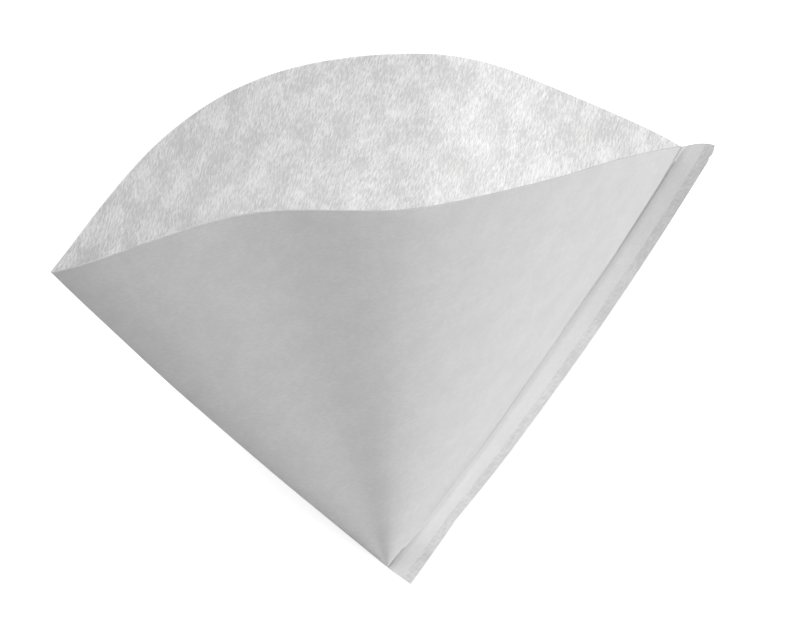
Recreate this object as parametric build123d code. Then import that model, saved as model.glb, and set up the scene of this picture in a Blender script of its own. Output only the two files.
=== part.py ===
"""Paper fryer filter cone: one half disc of filter paper, folded once and closed by a crimped seam.

A sheet that bends but doesn't stretch opens into strips of right circular cones that share one apex, each
touching the next along a straight ruling line. The cone lies on its back wall with its mouth open. While it
is drawn, the apex is the origin, +Y runs along the axis to the mouth, +X points to the seam and +Z is up.
Lengths are millimetres.
"""
from build123d import *
import os
from math import atan2, degrees, sqrt

# The cut sheet: the radius of the half disc is also the slant length of the cone
cut_radius = 254.0
sheet = 0.4

# The seam: two plies pressed together, with a crimped band along the outer edge
seam_width = 13.0
crimp_width = 5.0
crimp_pitch = 2.4
crimp_depth = 0.22
bare_tail = 6.5
ear_length = 8.0

# The opened section, in a plane across the axis at the gauge distance from the apex: out to the side, and up
gauge = 200.0
fold_out = 168.0
fold_rise = 108.0
toe_out = 40.0
toe_rise = 14.0
flat_left = 4.0
flat_right = 34.0
bend_out = 69.0
bend_rise = 16.0
heel_out = 106.0
heel_rise = 42.0
seam_out = 163.0
seam_rise = 48.5
flank_out = 98.0
flank_rise = 128.0
crown_out = 21.0
crown_rise = 161.0
dip_out = 15.0
dip_rise = 154.0
shoulder_out = 80.0
shoulder_rise = 139.5

# The tip is pressed shut over this length, and ends a little blunt; the strips start inside it
closed_tip = 8.0
blunt_tip = 1.6
wall_start = 0.4 * closed_tip

# Strips run past the rim before they are trimmed
long_ruling = 1.2 * cut_radius

apex = Vector(0, 0, 0)
level = Vector(1, 0, 0)
up = Vector(0, 0, 1)


def ruling(out, rise):
    """Direction of the straight line from the apex through a point of the gauge section."""
    return Vector(out, gauge, rise).normalized()


fold_line = ruling(-fold_out, fold_rise)
toe_line = ruling(-toe_out, toe_rise)
flat_start = ruling(-flat_left, 0)
flat_end = ruling(flat_right, 0)
bend_line = ruling(bend_out, bend_rise)
heel_line = ruling(heel_out, heel_rise)
seam_line = ruling(seam_out, seam_rise)
flank_line = ruling(flank_out, flank_rise)
crown_line = ruling(crown_out, crown_rise)
dip_line = ruling(-dip_out, dip_rise)
shoulder_line = ruling(-shoulder_out, shoulder_rise)


def wall_profile(line, inward):
    """The sheet cut along one ruling: a long thin rectangle, one sheet thick."""
    near = line * wall_start
    far = line * long_ruling
    depth = inward * sheet
    return make_face(Polyline(near, far, far + depth, near + depth, close=True))


def cone_strip(line, heading, next_line, inward):
    """One strip of the sheet, bent to the cone that leaves a ruling along its heading and reaches the next.

    The cone's axis is square to the heading and equally inclined to both rulings. Returns the strip, and the
    heading and the inward direction at its far ruling.
    """
    axis = heading.cross(next_line - line).normalized()
    if axis.cross(line).dot(heading) < 0:
        axis = -axis
    spoke = line - axis * axis.dot(line)
    next_spoke = next_line - axis * axis.dot(next_line)
    turn = degrees(atan2(axis.dot(spoke.cross(next_spoke)), spoke.dot(next_spoke)))
    strip = revolve(wall_profile(line, inward), Axis(apex, axis), turn)
    return strip, heading.rotate(Axis(apex, axis), turn), inward.rotate(Axis(apex, axis), turn)


def sheet_run(lines, heading, inward):
    """Strips from the first ruling to the last, each smooth with the one before it.

    Returns the strips, and the inward direction at the last ruling.
    """
    strips = []
    for line, next_line in zip(lines, lines[1:]):
        strip, heading, inward = cone_strip(line, heading, next_line, inward)
        strips.append(strip)
    return strips, inward


def mitred(strips, inward, other_inward, line):
    """The same strips with the end of the last one cut slantwise, by the plane that halves the folded corner."""
    halfway = Plane(origin=apex, x_dir=line, z_dir=other_inward - inward)
    return strips[:-1] + [split(strips[-1], bisect_by=halfway, keep=Keep.TOP)]


def open_walls():
    """The two walls. The back has a flat that the cone lies on; the front is an arch with a shallow dip.

    The front starts at its crown, the highest ruling, where it runs level from side to side.
    """
    corners = [flat_start * wall_start, flat_start * long_ruling, flat_end * long_ruling, flat_end * wall_start]
    flat = extrude(make_face(Polyline(*corners, close=True)), sheet, dir=up)
    across = (level - crown_line * crown_line.dot(level)).normalized()
    under_crown = crown_line.cross(across)
    back_left, back_fold = sheet_run([flat_start, toe_line, fold_line], up.cross(flat_start), up)
    back_right, back_seam = sheet_run([flat_end, bend_line, heel_line, seam_line], flat_end.cross(up), up)
    front_left, front_fold = sheet_run([crown_line, dip_line, shoulder_line, fold_line], -across, under_crown)
    front_right, front_seam = sheet_run([crown_line, flank_line, seam_line], across, under_crown)
    walls = [flat]
    walls += mitred(back_left, back_fold, front_fold, fold_line)
    walls += mitred(back_right, back_seam, front_seam, seam_line)
    walls += mitred(front_left, front_fold, back_fold, fold_line)
    walls += mitred(front_right, front_seam, back_seam, seam_line)
    return walls


def cone_wall(tip_corner):
    """The conical sheet, solid at its pressed tip, with its rim cut by a ball about the seam's first corner."""
    across_tip = Plane(origin=(0, closed_tip, 0), z_dir=(0, 1, 0))
    flat, *strips = open_walls()
    tube = split(flat + strips, bisect_by=across_tip, keep=Keep.TOP)
    tip_base = make_face(tube.faces().sort_by(Axis.Y)[0].outer_wire())
    tip = loft([scale(tip_base, blunt_tip / closed_tip), tip_base], ruled=True)
    rim_ball = Pos(tip_corner) * Sphere(cut_radius)
    return (tube + tip) & rim_ball


def seam_strip(seam_length):
    """The two-ply strip outside the seam, with a square lower end and a slanted ear at the mouth.

    It is drawn flat: x is out from the seam line, y is along it, and the lower face is at z = 0. Its inner edge
    laps into the corner of the walls. The crimp is a zigzag of both faces, half a pitch apart.
    """
    lap = 1.1 * sheet
    plies = 2 * sheet
    band_start = seam_width - crimp_width
    mouth_corner = (seam_width, seam_length + ear_length)
    outline = make_face(
        Polyline((-lap, 0), (seam_width, 0), mouth_corner, (-lap, seam_length), close=True)
    )
    whole = extrude(outline, plies, dir=up)

    teeth = int((seam_length + ear_length - bare_tail) / crimp_pitch)
    end = seam_length + 2 * ear_length
    upper = [(tooth * crimp_pitch / 2, plies - crimp_depth * (tooth % 2)) for tooth in range(2 * teeth + 1)]
    lower = [(tooth * crimp_pitch / 2, crimp_depth * ((tooth + 1) % 2)) for tooth in range(1, 2 * teeth)]
    side = make_face(Polyline(*upper, (end, plies), (end, 0), *reversed(lower), (0, 0), close=True))
    beside_band = Plane(origin=(band_start, 0, 0), x_dir=(0, 1, 0), z_dir=(1, 0, 0))
    band = extrude(beside_band * side, crimp_width, dir=level) & whole
    plain = whole & Pos(band_start, 0, 0) * Box(
        2 * seam_width, 2 * end, 2 * plies, align=(Align.MAX, Align.CENTER, Align.CENTER)
    )
    return plain + band


def filter_cone():
    """The whole cone, with its origin under the middle of its box."""
    out_from_seam = seam_line.cross(up).normalized()
    tip_corner = out_from_seam * seam_width
    seam_length = sqrt(cut_radius**2 - seam_width**2)
    seam_plane = Plane(origin=apex, x_dir=out_from_seam, z_dir=out_from_seam.cross(seam_line))
    cone = cone_wall(tip_corner) + seam_plane * seam_strip(seam_length)
    corners = cone.vertices()
    left = min(corner.X for corner in corners)
    right = max(corner.X for corner in corners)
    near_end = min(corner.Y for corner in corners)
    far_rim = tip_corner.Y + cut_radius
    return Pos(-(left + right) / 2, -(near_end + far_rim) / 2, 0) * cone


os.makedirs("parts", exist_ok=True)
export_step(filter_cone(), "parts/filter_cone.step")
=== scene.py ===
# %% [markdown]
# # A paper cone filter, lying open
#
# A fryer filter cone is one half disc of filter paper. It is folded once down the middle, and its two
# straight edges are laid together and crimped, so the sheet becomes a cone with a flat seam strip along
# one side. Here it lies on its back wall with the mouth open.
#
# Paper bends but hardly stretches. So the whole cone is made as one grid: across it, the sheet is followed
# from one cut edge, over the front wall, round the fold and along the back wall to the other cut edge;
# along it, lines run from the tip to the rim.

import bpy
import numpy as np
from mathutils import Matrix


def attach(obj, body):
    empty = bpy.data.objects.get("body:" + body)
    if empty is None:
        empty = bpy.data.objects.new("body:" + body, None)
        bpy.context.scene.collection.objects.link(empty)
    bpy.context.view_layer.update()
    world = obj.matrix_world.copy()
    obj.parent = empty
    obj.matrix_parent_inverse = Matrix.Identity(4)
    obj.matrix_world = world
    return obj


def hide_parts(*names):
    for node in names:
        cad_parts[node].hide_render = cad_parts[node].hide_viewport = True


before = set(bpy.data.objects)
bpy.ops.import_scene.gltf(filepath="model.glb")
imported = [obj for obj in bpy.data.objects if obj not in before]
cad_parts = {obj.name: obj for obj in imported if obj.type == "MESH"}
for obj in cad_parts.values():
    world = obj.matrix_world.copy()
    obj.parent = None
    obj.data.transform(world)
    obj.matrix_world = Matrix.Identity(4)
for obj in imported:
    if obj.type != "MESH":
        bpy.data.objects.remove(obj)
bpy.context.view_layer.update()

# %% [markdown]
# ## Sizes
#
# Lengths are metres. The section is drawn once, in a plane across the axis at a gauge distance from the
# apex, as points given by how far they are out to the side and up. Every other section is the same drawing
# made larger or smaller, which is what makes the surface a cone.

# %% Sizes of the sheet and points of the section
MM = 0.001
cut_radius = 254 * MM
sheet = 0.4 * MM
seam_width = 13.4 * MM
band_width = 5 * MM
gauge = 200 * MM
apex = np.array([-14.31, -118.73, 0.0]) * MM

fold_point = np.array([-160.9, 103.4]) * MM
seam_point = np.array([156.6, 46.7]) * MM
flat_left = np.array([-4.0, 0.0]) * MM
flat_right = np.array([34.0, 0.0]) * MM
back_left_points = np.array([[-128, 84.4], [-75, 39.8]]) * MM
back_right_points = np.array([[50, 5.5], [80, 28.5], [104, 40.0]]) * MM
front_right_points = np.array([[105, 114.3], [63, 145.0], [20, 155.6]]) * MM
front_left_points = np.array([[-40, 139.6], [-85, 132.6], [-122, 124.5]]) * MM
print("the flat half disc is", 2 * cut_radius, "by", cut_radius, "metres")

# %% [markdown]
# ## The section
#
# Seen into its mouth, the real cone is flat where it lies on the table, folded on the left, closed by the
# seam on the right and arched over the top. The section could be drawn by hand as a Bezier curve. But a
# sheet pushed into a curve has no sudden change of bend, and a cubic spline gives that by itself, so the
# function below solves for the bend at each point. Where the sheet lies on the table the curve must start
# level, so a heading can be given.

# %% A smooth curve through points
def smooth_curve(points, start=None, end=None, samples=600):
    """Cubic spline through points, with the chord length as its parameter.

    The second derivatives solve one linear system: at inner points the slope is continuous; at an end
    either the heading is given, or the third derivative carries on through the next point.
    """
    points = np.asarray(points, float)
    count = len(points)
    steps = np.linalg.norm(np.diff(points, axis=0), axis=1)
    knots = np.concatenate([[0.0], np.cumsum(steps)])
    slopes = np.diff(points, axis=0) / steps[:, None]
    matrix = np.zeros((count, count))
    right_side = np.zeros_like(points)
    inside = np.arange(1, count - 1)
    matrix[inside, inside - 1] = steps[:-1]
    matrix[inside, inside] = 2 * (steps[:-1] + steps[1:])
    matrix[inside, inside + 1] = steps[1:]
    right_side[inside] = 6 * (slopes[1:] - slopes[:-1])
    if start is None:
        matrix[0, :3] = [-steps[1], steps[0] + steps[1], -steps[0]]
    else:
        matrix[0, :2] = [2 * steps[0], steps[0]]
        right_side[0] = 6 * (slopes[0] - start)
    if end is None:
        matrix[-1, -3:] = [-steps[-1], steps[-2] + steps[-1], -steps[-2]]
    else:
        matrix[-1, -2:] = [steps[-1], 2 * steps[-1]]
        right_side[-1] = 6 * (end - slopes[-1])
    bend = np.linalg.solve(matrix, right_side)
    at = np.linspace(0, knots[-1], samples)
    span = np.clip(np.searchsorted(knots, at, side="right") - 1, 0, count - 2)
    width = steps[span][:, None]
    to_next = (knots[span + 1] - at)[:, None]
    from_last = (at - knots[span])[:, None]
    cubic = (bend[span] * to_next**3 + bend[span + 1] * from_last**3) / (6 * width)
    near_part = (points[span] / width - bend[span] * width / 6) * to_next
    far_part = (points[span + 1] / width - bend[span + 1] * width / 6) * from_last
    return cubic + (near_part + far_part)


level = np.array([1.0, 0.0])
seam_heading = np.array([0.99, 0.14])
front_curve = smooth_curve(np.vstack([seam_point, front_right_points, front_left_points, fold_point]))
left_curve = smooth_curve(np.vstack([fold_point, back_left_points, flat_left]), end=level)
right_points = np.vstack([flat_right, back_right_points, seam_point])
right_curve = smooth_curve(right_points, start=level, end=seam_heading)
back_curve = np.vstack([left_curve, right_curve])
print("the section is", round(front_curve[:, 1].max(), 4), "high")

# %% [markdown]
# ## Round the fold
#
# Paper doesn't fold to a knife edge: it turns within a millimetre or two. A Bevel modifier could round a
# sharp edge of the finished mesh, but as part of the section the round shrinks towards the tip with the
# rest. So both walls stop a little short of the fold, and a short arc joins them. They also stop just
# short of the seam's crease, where the strip takes over.

# %% The section from one side of the crease to the other
fold_round = 1.6 * MM
crease_gap = 0.5 * MM
wall_columns = 150
fold_columns = 7


def even_lengths(curve, first, last, count):
    """Points at even lengths along a curve, from first after its start to last before its end."""
    run = np.concatenate([[0.0], np.cumsum(np.linalg.norm(np.diff(curve, axis=0), axis=1))])
    at = np.linspace(first, run[-1] - last, count)
    return np.stack([np.interp(at, run, curve[:, axis]) for axis in range(curve.shape[1])], axis=1)


front_section = even_lengths(front_curve, crease_gap, fold_round, wall_columns)
back_section = even_lengths(back_curve, fold_round, crease_gap, wall_columns)
turn = np.linspace(0, 1, fold_columns + 2)[1:-1, None]
front_pull = (1 - turn) ** 2 * front_section[-1]
fold_pull = 2 * turn * (1 - turn) * fold_point
back_pull = turn**2 * back_section[0]
section = np.vstack([front_section, front_pull + fold_pull + back_pull, back_section])
print("section points", len(section))

# %% [markdown]
# ## The cone and its rim
#
# The paper was cut to a circle when flat, and every point of the rim is still that far from the middle of
# the circle, which is the outer corner of the seam at the tip. A Boolean with a ball would cut the rim, but
# would leave a ragged mesh. Instead each line of the cone is followed until it meets the ball, by Newton's
# method on all lines at once. The lines bow outwards a little half way up, as a soft sheet does.

# %% Lines of the cone
belly = 9.9 * MM
newton_steps = 25


def swell(along):
    """Size of the section at a distance along the axis, and its rate of change.

    The size is the distance over the gauge distance, with half a sine wave added for the bow.
    """
    size = (along + belly * np.sin(np.pi * along / cut_radius)) / gauge
    rate = (1 + belly * np.pi / cut_radius * np.cos(np.pi * along / cut_radius)) / gauge
    return size, rate


def cone_point(section_points, along):
    """Point of the cone, from the apex: the section point times the section's size, at its distance along."""
    size, _ = swell(along)
    return np.stack([section_points[..., 0] * size, along, section_points[..., 1] * size], axis=-1)


def line_heading(section_points, along):
    """Heading of a line of the cone: how far its point moves for each metre along the axis."""
    _, rate = swell(along)
    sideways = section_points[..., 0] * rate
    upwards = section_points[..., 1] * rate
    return np.stack([sideways, np.ones_like(along), upwards], axis=-1)


def rim_distance(section_points, centre):
    """Distance along the axis at which each line of the cone meets the ball of the cut circle.

    Each step takes away the error of the squared distance from the centre, divided by its rate of change.
    """
    along = np.full(section_points.shape[0], gauge)
    for _ in range(newton_steps):
        spoke = cone_point(section_points, along) - centre
        miss = (spoke**2).sum(axis=1) - cut_radius**2
        along = along - miss / (2 * (spoke * line_heading(section_points, along)).sum(axis=1))
    return along


out_at_tip = np.array([gauge, -seam_point[0], 0.0])
out_at_tip /= np.linalg.norm(out_at_tip)
tip_corner = out_at_tip * seam_width
rim = rim_distance(section, tip_corner)
seam_rim = rim_distance(seam_point[None], tip_corner)[0]
print("rim from", round(rim.min(), 4), "to", round(rim.max(), 4))

# %% [markdown]
# ## The seam strip
#
# Outside the crease the two plies of the real cone lie flat together. The strip doesn't grow with the
# section, so it isn't part of the drawing: it is measured straight out from the crease. It lies level at
# the tip, where it touches the table, and soon droops; it widens a little over its first third; and its
# mouth end runs on past the rim as a rounded ear. A plane bent by a modifier could do this too, but a formula
# keeps its inner edge exactly on the crease.

# %% The middle plane of the strip
ear_length = 7.2 * MM
droop_low = np.radians(-26.0)
droop_mouth = np.radians(-20.0)
droop_shares = [0.01, 0.135, 1]
widening = 0.14
widening_shares = (0.03, 0.3)
tip_lift_fade = 5 * MM


def rise(x, low, high):
    """A smooth step from 0 at low to 1 at high: three times the square of the way, less twice its cube."""
    way = np.clip((x - low) / (high - low), 0, 1)
    return way * way * (3 - 2 * way)


def strip_point(out, share):
    """Point of the strip's middle plane, its upward normal, and the length along the crease.

    out is the distance from the crease, and share runs from 0 at the tip to 1 at the mouth end. The point is
    the crease's point plus the widened distance in the outward direction, which is turned by the droop.
    """
    lean = np.hypot(seam_point[0], gauge) / gauge
    ear = ear_length * (1 - (1 - out / seam_width) ** 2)
    along = share * (seam_rim + ear / lean)
    base = cone_point(seam_point, along)
    base[..., 2] += sheet * np.exp(-along / tip_lift_fade)
    heading = line_heading(seam_point, along)
    heading /= np.linalg.norm(heading, axis=-1, keepdims=True)
    flat_out = np.stack([heading[..., 1], -heading[..., 0], np.zeros_like(along)], axis=-1)
    flat_out /= np.linalg.norm(flat_out, axis=-1, keepdims=True)
    upright = np.cross(flat_out, heading)
    droop = np.interp(share, droop_shares, [0, droop_low, droop_mouth])[..., None]
    outwards = flat_out * np.cos(droop) + upright * np.sin(droop)
    normal = np.cross(outwards, heading)
    wide = out * (1 + widening * rise(share, *widening_shares))
    return base + outwards * wide[..., None], normal, along * lean


ear_corner = strip_point(np.array([seam_width]), np.array([1.0]))[0][0] + apex
print("outer corner of the ear", ear_corner.round(4))

# %% [markdown]
# ## One sheet
#
# The real cone is one sheet, so its mesh is one grid. The columns follow the sheet: the upper ply of the
# strip, the front wall, the fold, the back wall, the lower ply of the strip. The rows run from the tip to
# the rim. Separate walls would be easier to draw, but they would show a gap or a step where they meet.

# %% The grid of the sheet
rows = 112
first_share = 0.002
strip_columns = 9
band_lap = 0.2 * MM
crease_step = 0.6 * MM
ply_rise = 3 * MM

share = np.linspace(first_share, 1.0, rows)[:, None]
wall = cone_point(section[None], share * rim[None])

strip_places = np.linspace(seam_width - band_width + band_lap, crease_step, strip_columns - 1)
strip_places = np.append(strip_places, 0.0)
strip_share, strip_out = np.meshgrid(np.linspace(0, 1, rows), strip_places, indexing="ij")
strip_middle, strip_up, strip_run = strip_point(strip_out, strip_share)
upper_ply = strip_middle + strip_up * (sheet * rise(strip_out, 0, ply_rise))[..., None]
lower_ply = (strip_middle - strip_up * sheet)[:, ::-1]
outer = np.concatenate([upper_ply, wall, lower_ply], axis=1)
print("grid of the sheet:", outer.shape[0], "rows,", outer.shape[1], "columns")

# %% [markdown]
# ## The flat place
#
# The fibres of the real paper run straight across the flat sheet, as they did when it was cut from the
# roll. So each point keeps its place on the flat half disc. Blender could unwrap the mesh, but a cone opens
# flat by a rule: the distance from the tip stays, and the angles between its lines add up.

# %% The place of each point on the flat half disc
rulings = cone_point(section, np.full(len(section), gauge))
rulings /= np.linalg.norm(rulings, axis=1, keepdims=True)
opening = np.arccos(np.clip((rulings[1:] * rulings[:-1]).sum(axis=1), -1, 1))
cone_angle = np.concatenate([[0.0], np.cumsum(opening)])
sheet_angle = cone_angle * np.pi / cone_angle[-1]
slant = np.linalg.norm(wall, axis=2)
wall_flat = np.stack([slant * np.cos(sheet_angle), slant * np.sin(sheet_angle)], axis=2)
upper_flat = np.stack([strip_run, -strip_out], axis=2)
last_line = np.array([np.cos(sheet_angle[-1]), np.sin(sheet_angle[-1])])
beyond_last = np.array([-last_line[1], last_line[0]])
lower_flat = (strip_run[..., None] * last_line + strip_out[..., None] * beyond_last)[:, ::-1]
flat = np.concatenate([upper_flat, wall_flat, lower_flat], axis=1)
print("the cone without its strip opens to", round(np.degrees(cone_angle[-1]), 1), "degrees")

# %% [markdown]
# ## Small marks
#
# Handling leaves small marks in paper: a slow waviness everywhere, a patch of fine ripples beside the
# ridge, and a narrow sliver along the front rim, near the seam, that is turned in a little. They could be
# sculpted, but as functions of the flat place they come out the same each time. All are pushed in along
# the surface normal. Where the sheet lies on the table it stays flat.

# %% Waves, ripples and the turned edge
wave_height = 0.2 * MM
slow_waves = [(61, 23, 0.6, 1.0), (-37, 83, 2.1, 0.7), (121, 57, 4.0, 0.5)]
ripple_height = 0.07 * MM
ripple_length = 7 * MM
ripple_sway = 2
sway_rate = 40
patch_along, patch_across = 140 * MM, 120 * MM
patch_length, patch_width = 50 * MM, 22 * MM
turned_slope = 0.12
turned_start = 254.5 * MM
turned_per_degree = 0.43 * MM
turned_end, turned_fade = 46, 12
front_end, front_fade, crease_fade = 93, 4, 2
strip_calm = 0.3
lying_height = 5 * MM


def surface_normals(grid):
    """Unit normals of a grid of points: the cross product of the two directions along the grid."""
    down, across = np.gradient(grid, axis=(0, 1))
    normal = np.cross(down, across)
    return normal / np.maximum(np.linalg.norm(normal, axis=2, keepdims=True), 1e-12)


def bump(x, centre, width):
    """A smooth hill of height 1: the normal curve about a centre."""
    return np.exp(-(((x - centre) / width) ** 2))


along_seam, from_seam = flat[..., 0], flat[..., 1]
from_tip = np.hypot(along_seam, from_seam)
degrees_round = np.degrees(np.arctan2(from_seam, along_seam))
on_front = rise(front_end - degrees_round, 0, front_fade) * rise(degrees_round, 0, crease_fade)

waves = np.zeros_like(from_tip)
for seam_rate, cross_rate, phase, weight in slow_waves:
    waves += weight * np.sin(along_seam * seam_rate + from_seam * cross_rate + phase)
push = wave_height * waves * rise(from_tip, 0, cut_radius)

ripple_patch = bump(along_seam, patch_along, patch_length) * bump(from_seam, patch_across, patch_width)
ripple_phase = 2 * np.pi * from_seam / ripple_length + ripple_sway * np.sin(along_seam * sway_rate)
push += ripple_height * np.sin(ripple_phase) * ripple_patch * on_front

past_turn = np.clip(from_tip - turned_start + turned_per_degree * degrees_round, 0, None)
push -= turned_slope * past_turn * rise(turned_end - degrees_round, 0, turned_fade) * on_front

push[:, :strip_columns] *= strip_calm
push[:, -strip_columns:] *= strip_calm
push *= rise(outer[..., 2], 0, lying_height)
normals = surface_normals(outer)
outer = outer + normals * push[..., None]
print("deepest mark", round(np.abs(push).max() / MM, 2), "mm")

# %% [markdown]
# ## The bend into the strip
#
# Low down on the real cone the front ply swings softly into the strip, and further up it is creased. Points
# on the two sides of a crease have different normals, and pushing them along those would fold the mesh over.
# So the columns next to the crease are all lifted in one common direction, half way between the two sides.
# The inner face is then the same grid, one sheet further in.

# %% The soft bend and the inner face
bend_lift = 1.5 * MM
bend_reach = 5 * MM
bend_start = (4 * MM, 30 * MM)
bend_end = (60 * MM, 135 * MM)
wall_side = strip_columns + 14
thin_tip_share = 0.03
thinnest = 0.15

crease_up = normals[:, 0] + normals[:, wall_side]
crease_up /= np.linalg.norm(crease_up, axis=1, keepdims=True)
bent_part = rise(along_seam, *bend_start) * (1 - rise(along_seam, *bend_end))
soft_bend = bend_lift * np.exp(-np.abs(from_seam) / bend_reach) * bent_part
outer = outer + crease_up[:, None] * soft_bend[..., None]

thickness = sheet * np.clip(share / thin_tip_share, thinnest, 1.0)
inner = outer - surface_normals(outer) * thickness[..., None]
print("soft bend up to", round(soft_bend.max() / MM, 2), "mm")

# %% [markdown]
# ## A closed sheet
#
# A real sheet has two faces and a cut edge. A Solidify modifier would give a single grid a thickness, but
# both faces are known here, so they are joined directly: the outer faces come first, then the inner faces,
# then a ribbon round the border. The border's edges are marked sharp, so that the ribbon is shaded by
# itself.

# %% A piece from two grids
OUTSIDE, INSIDE, STRIP, CRIMP, EDGE = range(5)


def grid_faces(number):
    """Corner numbers of the quads of a grid of point numbers."""
    corners = [number[:-1, :-1], number[1:, :-1], number[1:, 1:], number[:-1, 1:]]
    return np.stack(corners, axis=-1).reshape(-1, 4)


def lay_flat_map(mesh, places):
    """Writes the flat place of each point into a UV map, once for each corner of a face."""
    corner = np.zeros(len(mesh.loops), dtype=np.int32)
    mesh.loops.foreach_get("vertex_index", corner)
    layer = mesh.uv_layers.new(name="flat_sheet")
    layer.data.foreach_set("uv", places[corner].ravel().astype(np.float32))


def sharpen_border(mesh, border, total):
    """Marks as sharp the edges that run along the border of either grid, and not across the ribbon."""
    on_border = np.zeros(2 * total, dtype=bool)
    on_border[border] = True
    on_border[border + total] = True
    ends = np.zeros(2 * len(mesh.edges), dtype=np.int32)
    mesh.edges.foreach_get("vertices", ends)
    ends = ends.reshape(-1, 2)
    same_side = (ends[:, 0] < total) == (ends[:, 1] < total)
    mesh.edges.foreach_set("use_edge_sharp", on_border[ends].all(axis=1) & same_side)


def closed_sheet(name, upper, under, places, upper_kind, under_kind):
    """A closed piece: the quads of two grids of the same size, and a ribbon between their borders.

    places are the flat places of the points. upper_kind and under_kind give the number of the material for
    each quad of the two grids.
    """
    total = upper.shape[0] * upper.shape[1]
    number = np.arange(total).reshape(upper.shape[:2])
    border = np.concatenate([number[0], number[1:, -1], number[-1, -2::-1], number[-2:0:-1, 0]])
    following = np.roll(border, -1)
    top = grid_faces(number)
    bottom = top[:, ::-1] + total
    ribbon = np.stack([border, following, following + total, border + total], axis=1)
    points = np.concatenate([upper.reshape(-1, 3), under.reshape(-1, 3)]) + apex
    mesh = bpy.data.meshes.new(name)
    mesh.from_pydata(points.tolist(), [], np.concatenate([top, bottom, ribbon]).tolist())
    kind = np.concatenate([upper_kind.ravel(), under_kind.ravel(), np.full(len(ribbon), EDGE)])
    mesh.polygons.foreach_set("material_index", kind.astype(np.int32))
    mesh.polygons.foreach_set("use_smooth", np.ones(len(kind), dtype=bool))
    lay_flat_map(mesh, np.tile(places.reshape(-1, 2), (2, 1)))
    sharpen_border(mesh, border, total)
    mesh.update()
    piece = bpy.data.objects.new(name, mesh)
    bpy.context.scene.collection.objects.link(piece)
    return piece


quad_grid = (rows - 1, outer.shape[1] - 1)
outer_kind = np.full(quad_grid, OUTSIDE)
inner_kind = np.full(quad_grid, INSIDE)
for kinds in (outer_kind, inner_kind):
    kinds[:, :strip_columns - 1] = STRIP
    kinds[:, 1 - strip_columns:] = STRIP
cone = closed_sheet("cone_sheet", outer, inner, flat, outer_kind, inner_kind)
print("cone sheet faces", len(cone.data.polygons))

# %% [markdown]
# ## The crimped band
#
# The outer edge of the strip is pressed between toothed rollers, which lock the fibres of both plies
# together. A bump texture could hint at the teeth, but they also show along the edge, so the band is a plate
# of two plies whose height follows a wave along the seam. The teeth stop short of the mouth, at a small
# notch, and past it the loose ends of the plies fray and draw in.

# %% The band and its teeth
teeth_rows = 640
band_columns = 9
crimp_pitch = 2.4 * MM
crimp_depth = 0.04 * MM
pressed_share = 0.25
press_edge = 0.5 * MM
bare_tail = 6.5 * MM
tail_draw = 1.2 * MM
fray_depth, fray_length = 0.2 * MM, 0.35 * MM
notch_depth, notch_length = 0.6 * MM, 1.0 * MM

band_places = np.linspace(seam_width - band_width, seam_width, band_columns)
band_share, band_out = np.meshgrid(np.linspace(0, 1, teeth_rows), band_places, indexing="ij")
band_run = strip_point(band_out, band_share)[2]
crimp_end = band_run.max() - bare_tail
in_tail = np.clip((band_run - crimp_end) / bare_tail, 0, 1)
fray = fray_depth * np.sin(band_run / fray_length) * in_tail
notch = notch_depth * bump(band_run, crimp_end, notch_length)
edge_shift = fray - tail_draw * in_tail**2 - notch
from_strip = (band_out - band_out.min()) / band_width
band_middle, band_up, _ = strip_point(band_out + edge_shift * from_strip, band_share)

in_crimp = np.clip((crimp_end - band_run) / crimp_pitch, 0, 1)
pressed = in_crimp * np.clip((band_out - band_out.min()) / press_edge, 0, 1)
teeth = crimp_depth * np.sin(2 * np.pi * band_run / crimp_pitch) * pressed
plate = sheet * (1 - pressed_share * pressed)
band_upper = band_middle + band_up * (plate + teeth)[..., None]
band_under = band_middle - band_up * (plate - teeth)[..., None]
band_flat = np.stack([band_run, -band_out], axis=2)
band_kind = np.full((teeth_rows - 1, band_columns - 1), CRIMP)
band = closed_sheet("crimp_band", band_upper, band_under, band_flat, band_kind, band_kind)
print("crimp band faces", len(band.data.polygons), "teeth", int(crimp_end / crimp_pitch))

# %% [markdown]
# ## What the pieces stand for
#
# The real cone has no joint, so both pieces ride on the one body. The sheet stands for the solid cone, and
# its flat size is that of the half disc.

# %% Tie the pieces to the frame
for piece in (cone, band):
    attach(piece, "root")
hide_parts("filter_cone")
print("pieces:", cone.name, "and", band.name)

# %% [markdown]
# ## Fibres
#
# Filter paper is a mat of short fibres. Most of them lie along the direction in which the paper was made, so
# it shows fine streaks along it, on top of cloudy patches where the mat is thicker or thinner. Real fibres
# as curves would be far too many, so they are noise, stretched along two directions that cross. The node
# group turns the flat place of a point into these values. It also gives the masks where shade is painted
# along the seam: the line of the crease, the strip beside it, and the part near the mouth.

# %% The fibre group
fibre_layers = [(280, 1400, -0.12), (250, 1250, -0.45), (60, 85, 0.0)]
fibre_detail = 2.0
fibre_roughness = 0.6
patch_share = 0.3
crease_line = (0.2 * MM, 1.0 * MM)
crease_run = (135 * MM, 215 * MM)
mouth_run = (110 * MM, 250 * MM)
beside_reach = (0.0, 3.5 * MM)


def fibre_noise(tree, place, along, across, slant):
    """Noise with so many marks a metre along a slanted direction of the sheet, and so many across it."""
    mapping = tree.nodes.new("ShaderNodeMapping")
    mapping.vector_type = "TEXTURE"
    mapping.inputs["Rotation"].default_value = (0, 0, slant)
    mapping.inputs["Scale"].default_value = (1 / along, 1 / across, 1)
    noise = tree.nodes.new("ShaderNodeTexNoise")
    noise.inputs["Scale"].default_value = 1.0
    noise.inputs["Detail"].default_value = fibre_detail
    noise.inputs["Roughness"].default_value = fibre_roughness
    tree.links.new(place, mapping.inputs["Vector"])
    tree.links.new(mapping.outputs["Vector"], noise.inputs["Vector"])
    return noise.outputs["Fac"]


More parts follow.
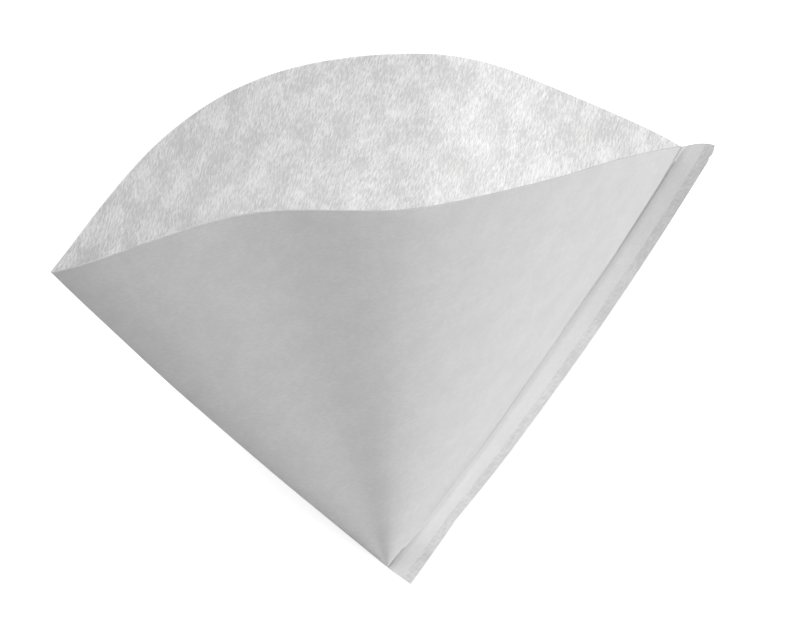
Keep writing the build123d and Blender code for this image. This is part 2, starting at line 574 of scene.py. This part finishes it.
def smooth_step(tree, source, start, end):
    """A smooth step of a value, from 0 at start to 1 at end."""
    step = tree.nodes.new("ShaderNodeMapRange")
    step.interpolation_type = "SMOOTHSTEP"
    step.inputs["From Min"].default_value = start
    step.inputs["From Max"].default_value = end
    tree.links.new(source, step.inputs["Value"])
    return step.outputs["Result"]


def combine(tree, operation, *sources):
    """One operation of arithmetic on one or two values."""
    node = tree.nodes.new("ShaderNodeMath")
    node.operation = operation
    for source, socket in zip(sources, node.inputs):
        tree.links.new(source, socket)
    return node.outputs["Value"]


def fibre_group():
    """Node group: the flat place in; the fibre cloud, its relief and the masks for painted shade along the
    seam out.

    The fibre is the larger of two stretched noises. The cloud is the fibre mixed with patches.
    """
    tree = bpy.data.node_groups.new("paper_fibres", "ShaderNodeTree")
    tree.interface.new_socket("Place", in_out="INPUT", socket_type="NodeSocketVector")
    for name in ("Cloud", "Relief", "Mouth", "Beside", "Crease"):
        tree.interface.new_socket(name, in_out="OUTPUT", socket_type="NodeSocketFloat")
    place = tree.nodes.new("NodeGroupInput").outputs["Place"]
    first, second, patches = [fibre_noise(tree, place, *layer) for layer in fibre_layers]
    fibre = combine(tree, "MAXIMUM", first, second)
    cloud = tree.nodes.new("ShaderNodeMix")
    cloud.inputs["Factor"].default_value = patch_share
    tree.links.new(fibre, cloud.inputs["A"])
    tree.links.new(patches, cloud.inputs["B"])
    parts = tree.nodes.new("ShaderNodeSeparateXYZ")
    tree.links.new(place, parts.inputs["Vector"])
    along = parts.outputs["X"]
    away = combine(tree, "ABSOLUTE", parts.outputs["Y"])
    creased = smooth_step(tree, along, *crease_run)
    off_line = combine(tree, "MULTIPLY", creased, smooth_step(tree, away, *crease_line))
    results = {
        "Cloud": cloud.outputs["Result"],
        "Relief": fibre,
        "Mouth": smooth_step(tree, along, *mouth_run),
        "Beside": smooth_step(tree, away, *beside_reach),
        "Crease": combine(tree, "SUBTRACT", creased, off_line),
    }
    group_output = tree.nodes.new("NodeGroupOutput")
    for name, value in results.items():
        tree.links.new(value, group_output.inputs[name])
    return tree


fibres = fibre_group()
print("fibre group nodes", len(fibres.nodes))

# %% [markdown]
# ## Paper
#
# The inside of the paper shows its streaks plainly, and the outside was pressed smoother. The outside is
# given a much darker grey than the inside, which is painted shade. The strip and the crimped band are two
# plies thick and paler; the strip's near-white is partly painted light. The cut edge is darker, as painted
# shade. One function makes all five from the same fibres. A little light passes through a single ply, which
# subsurface scattering gives more simply than a thin translucent shader.

# %% Paper materials
cloud_low, cloud_high = 0.46, 0.64
# Share of the grey left on the line of the crease: painted shade in the crease.
crease_line_shade = 0.62
relief_strength = 0.5
glow_depth = 1.2 * MM


def paper(name, pale, dark, relief, glow_through=0.0, beside_crease_shade=1.0, mouth_end_shade=1.0):
    """A paper material: its pale and dark grey, the depth of its relief, and how much light it lets through.

    The grey goes from dark to pale with the fibre cloud, and is then scaled by three levels of painted shade:
    next to the crease, towards the mouth end of the seam, and on the line of the crease.
    """
    material = bpy.data.materials.new(name)
    material.use_nodes = True
    nodes, links = material.node_tree.nodes, material.node_tree.links
    shader = nodes["Principled BSDF"]
    shader.inputs["Roughness"].default_value = 0.95
    shader.inputs["Specular IOR Level"].default_value = 0.1
    shader.inputs["Subsurface Weight"].default_value = glow_through
    shader.inputs["Subsurface Radius"].default_value = (1.0, 1.0, 1.0)
    shader.inputs["Subsurface Scale"].default_value = glow_depth
    place = nodes.new("ShaderNodeUVMap")
    place.uv_map = "flat_sheet"
    group = nodes.new("ShaderNodeGroup")
    group.node_tree = fibres
    spread = nodes.new("ShaderNodeMapRange")
    spread.inputs["From Min"].default_value = cloud_low
    spread.inputs["From Max"].default_value = cloud_high
    colour = nodes.new("ShaderNodeMix")
    colour.data_type = "RGBA"
    colour.inputs["A"].default_value = (dark, dark, dark, 1)
    colour.inputs["B"].default_value = (pale, pale, pale, 1)
    lift = nodes.new("ShaderNodeBump")
    lift.inputs["Distance"].default_value = relief
    lift.inputs["Strength"].default_value = relief_strength
    links.new(place.outputs["UV"], group.inputs["Place"])
    links.new(group.outputs["Cloud"], spread.inputs["Value"])
    links.new(spread.outputs["Result"], colour.inputs["Factor"])
    result = colour.outputs["Result"]
    # Each mask scales the grey down as painted shade: beside the crease, towards the mouth end of the seam,
    # and on the line of the crease.
    levels = [
        ("Beside", beside_crease_shade, 1.0),
        ("Mouth", 1.0, mouth_end_shade),
        ("Crease", 1.0, crease_line_shade),
    ]
    for mask, at_none, at_full in levels:
        level_here = nodes.new("ShaderNodeMapRange")
        level_here.inputs["To Min"].default_value = at_none
        level_here.inputs["To Max"].default_value = at_full
        scaled = nodes.new("ShaderNodeVectorMath")
        scaled.operation = "SCALE"
        links.new(group.outputs[mask], level_here.inputs["Value"])
        links.new(result, scaled.inputs[0])
        links.new(level_here.outputs["Result"], scaled.inputs["Scale"])
        result = scaled.outputs["Vector"]
    links.new(result, shader.inputs["Base Color"])
    links.new(group.outputs["Relief"], lift.inputs["Height"])
    links.new(lift.outputs["Normal"], shader.inputs["Normal"])
    return material


papers = [
    # The outside's grey is far darker than the inside's: painted shade.
    paper("paper_outside", 0.67, 0.61, 0.2 * MM, glow_through=0.8),
    paper("paper_inside", 0.99, 0.64, 1.0 * MM, glow_through=0.4),
    # The strip's near-white grey is two plies and partly painted light; beside the crease and towards the
    # mouth end it is darkened as painted shade.
    paper("paper_strip", 0.98, 0.92, 0.3 * MM, beside_crease_shade=0.88, mouth_end_shade=0.78),
    # The band's grey is darkened towards the mouth end: painted shade.
    paper("paper_crimp", 0.97, 0.80, 0.4 * MM, mouth_end_shade=0.74),
    # The cut edge's dark grey is painted shade.
    paper("paper_edge", 0.42, 0.38, 0.2 * MM),
]
for piece in (cone, band):
    for surface in papers:
        piece.data.materials.append(surface)
print("materials:", ", ".join(surface.name for surface in papers))

# %% [markdown]
# ## Floor and surroundings
#
# The cone lies on white, as for a product picture. A very bright floor would throw its light onto the cone,
# so the floor is a plain grey that glows only for the camera: it looks white where it is lit, and grey in
# the cone's shadow. In the same way the sky is white to the camera but lights the cone only faintly.

# %% White surroundings
floor_half = 4
floor_drop = 0.1 * MM
floor_grey = 0.6
floor_glow = 0.7
sky_light = 0.24

floor_corners = [(-floor_half, -floor_half), (floor_half, -floor_half)]
floor_corners += [(floor_half, floor_half), (-floor_half, floor_half)]
floor_mesh = bpy.data.meshes.new("floor")
floor_mesh.from_pydata([(x, y, -floor_drop) for x, y in floor_corners], [], [(0, 1, 2, 3)])
floor = bpy.data.objects.new("floor", floor_mesh)
bpy.context.scene.collection.objects.link(floor)

floor_paint = bpy.data.materials.new("floor_white")
floor_paint.use_nodes = True
floor_tree = floor_paint.node_tree
floor_shader = floor_tree.nodes["Principled BSDF"]
floor_shader.inputs["Base Color"].default_value = (floor_grey, floor_grey, floor_grey, 1)
floor_shader.inputs["Roughness"].default_value = 1.0
floor_shader.inputs["Specular IOR Level"].default_value = 0.0
floor_shader.inputs["Emission Color"].default_value = (1, 1, 1, 1)
floor_seen = floor_tree.nodes.new("ShaderNodeLightPath")
glow = floor_tree.nodes.new("ShaderNodeMath")
glow.operation = "MULTIPLY"
glow.inputs[1].default_value = floor_glow
floor_tree.links.new(floor_seen.outputs["Is Camera Ray"], glow.inputs[0])
floor_tree.links.new(glow.outputs["Value"], floor_shader.inputs["Emission Strength"])
floor_mesh.materials.append(floor_paint)

world = bpy.data.worlds.new("studio")
bpy.context.scene.world = world
world.use_nodes = True
world_tree = world.node_tree
background = world_tree.nodes["Background"]
background.inputs["Color"].default_value = (1, 1, 1, 1)
world_seen = world_tree.nodes.new("ShaderNodeLightPath")
world_level = world_tree.nodes.new("ShaderNodeMapRange")
world_level.inputs["To Min"].default_value = sky_light
world_level.inputs["To Max"].default_value = 1.0
world_tree.links.new(world_seen.outputs["Is Camera Ray"], world_level.inputs["Value"])
world_tree.links.new(world_level.outputs["Result"], background.inputs["Strength"])
print("floor", 2 * floor_half, "metres wide, sky at", sky_light)

# %% [markdown]
# ## Lights
#
# Three large soft lights stand round the cone: one low on the seam's side, which gives the front wall its
# light and dark half, a weak one high up, and a stronger one low behind the mouth, which shines into the
# cone and along the fibres. Area lamps would do as well, but distant lights have no place to choose, only a
# direction, a strength and the angle that they fill.

# %% Soft lights
light_spread = np.radians(35)


def soft_light(name, direction, energy):
    """A distant light whose own Z axis points back to where it comes from."""
    lamp = bpy.data.objects.new(name, bpy.data.lights.new(name, "SUN"))
    lamp.data.energy = energy
    lamp.data.angle = light_spread
    bpy.context.scene.collection.objects.link(lamp)
    source = np.array(direction) / np.linalg.norm(direction)
    side = np.cross([0.0, 0.0, 1.0], source)
    side /= np.linalg.norm(side)
    turned = np.column_stack([side, np.cross(source, side), source, 2 * source])
    lamp.matrix_world = Matrix(np.vstack([turned, [0, 0, 0, 1]]).tolist())
    return lamp


lights = [
    soft_light("right_light", (0.72, -0.52, 0.45), 1.55),
    soft_light("top_light", (0.5, 0.29, 0.82), 0.55),
    soft_light("mouth_light", (-0.31, 0.85, 0.42), 3.1),
]
print("lights:", ", ".join(lamp.name for lamp in lights))

# %% [markdown]
# ## Camera
#
# The picture is taken from nearly straight above, with the cone turned a little in it. A camera could be
# aimed at a target, but here its three axes are worked out from a tilt, a lean and a roll, which can each be
# set by itself. It stands far off, so that near and far parts keep one scale.

# %% Camera
picture_width = 800
sensor_width = 36
pixels_per_metre = 2098.5
camera_height = 6.0
camera_reach = 50
aim_across, aim_up = 0.005774, 0.11715
roll, tilt, lean = np.radians([5.637, 8.634, 0.473])

tilt_turn = np.array([[1, 0, 0], [0, np.cos(tilt), -np.sin(tilt)], [0, np.sin(tilt), np.cos(tilt)]])
lean_turn = np.array([[np.cos(lean), 0, np.sin(lean)], [0, 1, 0], [-np.sin(lean), 0, np.cos(lean)]])
from_view = (lean_turn @ tilt_turn).T
view_right = from_view @ np.array([np.cos(roll), -np.sin(roll), 0])
view_up = from_view @ np.array([np.sin(roll), np.cos(roll), 0])
view_back = from_view @ np.array([0.0, 0.0, 1.0])
stand = apex + view_right * aim_across + view_up * aim_up + view_back * camera_height
turned = np.column_stack([view_right, view_up, view_back, stand])

camera = bpy.data.objects.new("camera", bpy.data.cameras.new("camera"))
camera.data.sensor_width = sensor_width
camera.data.lens = pixels_per_metre * camera_height * sensor_width / picture_width
camera.data.clip_end = camera_reach
camera.matrix_world = Matrix(np.vstack([turned, [0, 0, 0, 1]]).tolist())
bpy.context.scene.collection.objects.link(camera)
bpy.context.scene.camera = camera
bpy.context.scene.view_settings.view_transform = "Standard"
print("camera lens", round(camera.data.lens, 1), "mm")
